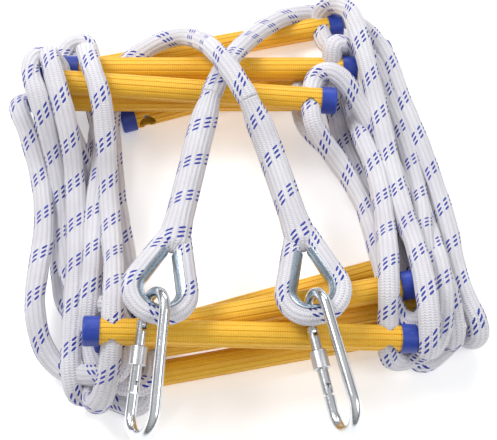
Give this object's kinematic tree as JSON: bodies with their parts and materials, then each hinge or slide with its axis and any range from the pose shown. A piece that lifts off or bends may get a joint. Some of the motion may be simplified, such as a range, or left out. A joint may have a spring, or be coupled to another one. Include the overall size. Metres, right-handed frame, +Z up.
{
  "type": "escape rope ladder",
  "caption": "Folded fire-escape rope ladder: two braided side ropes through tubular resin rungs, spliced thimble eyes and screw-lock carabiners at the top.",
  "frame": {"origin": "on the surface the bundle lies on, below the middle of the rungs, eyes and carabiners", "axes": "+X along the rungs, +Y from the carabiners towards the folded top, +Z up"},
  "size_m": [0.4652, 0.5229, 0.1391],
  "materials": {
    "rung": "fluted, slightly satin golden yellow",
    "cap": "semi-gloss royal blue",
    "rope": "white braid with blue tracer dashes",
    "thimble": "zinc plated, bluish grey",
    "hook": "bright zinc plated",
    "nut": "matt silver",
    "spring": "plain"
  },
  "bodies": {
    "bundle": {"rung_01": "rung", "rung_01_cap_left": "cap", "rung_01_cap_right": "cap", "rung_02": "rung", "rung_02_cap_left": "cap", "rung_02_cap_right": "cap", "rung_03": "rung", "rung_03_cap_left": "cap", "rung_03_cap_right": "cap", "rung_04": "rung", "rung_04_cap_left": "cap", "rung_04_cap_right": "cap", "rung_05": "rung", "rung_05_cap_left": "cap", "rung_05_cap_right": "cap", "rung_06": "rung", "rung_06_cap_left": "cap", "rung_06_cap_right": "cap", "rung_07": "rung", "rung_07_cap_left": "cap", "rung_07_cap_right": "cap", "rung_08": "rung", "rung_08_cap_left": "cap", "rung_08_cap_right": "cap", "rung_09": "rung", "rung_09_cap_left": "cap", "rung_09_cap_right": "cap", "rung_10": "rung", "rung_10_cap_left": "cap", "rung_10_cap_right": "cap", "side_rope_left": "rope", "eye_splice_left": "rope", "thimble_left": "thimble", "side_rope_right": "rope", "eye_splice_right": "rope", "thimble_right": "thimble"},
    "hook_left": {"carabiner_left_hook": "hook", "carabiner_left_rivet": "hook"},
    "gate_left": {"carabiner_left_gate": "hook", "carabiner_left_spring": "spring", "carabiner_left_plunger": "spring"},
    "nut_left": {"carabiner_left_nut": "nut"},
    "hook_right": {"carabiner_right_hook": "hook", "carabiner_right_rivet": "hook"},
    "gate_right": {"carabiner_right_gate": "hook", "carabiner_right_spring": "spring", "carabiner_right_plunger": "spring"},
    "nut_right": {"carabiner_right_nut": "nut"}
  },
  "joints": [
    {"name": "carabiner_left_swing", "type": "hinge", "parent": "bundle", "child": "hook_left", "pos_m": [-0.06146, -0.14504, 0.11895], "axis": [-0.955, 0.2139, 0.2056], "range_deg": [0, 35]},
    {"name": "gate_left_hinge", "type": "hinge", "parent": "hook_left", "child": "gate_left", "pos_m": [-0.07267, -0.14909, 0.10218], "axis": [-0.8257, -0.0438, 0.5624], "range_deg": [0, 22], "stiffness_Nm_per_rad": 0.02, "springref_deg": -17.19},
    {"name": "nut_left_slide", "type": "slide", "parent": "gate_left", "child": "nut_left", "axis": [-0.1065, -0.9669, -0.2317], "range_m": [0, 0.02]},
    {"name": "carabiner_right_swing", "type": "hinge", "parent": "bundle", "child": "hook_right", "pos_m": [0.08061, -0.13983, 0.10361], "axis": [-0.9749, -0.1742, -0.1388], "range_deg": [0, 35]},
    {"name": "gate_right_hinge", "type": "hinge", "parent": "hook_right", "child": "gate_right", "pos_m": [0.07631, -0.1486, 0.0855], "axis": [-0.9145, -0.2334, 0.3305], "range_deg": [0, 22], "stiffness_Nm_per_rad": 0.02, "springref_deg": -17.19},
    {"name": "nut_right_slide", "type": "slide", "parent": "gate_right", "child": "nut_right", "axis": [0.22, -0.9724, -0.078], "range_m": [0, 0.02]}
  ]
}
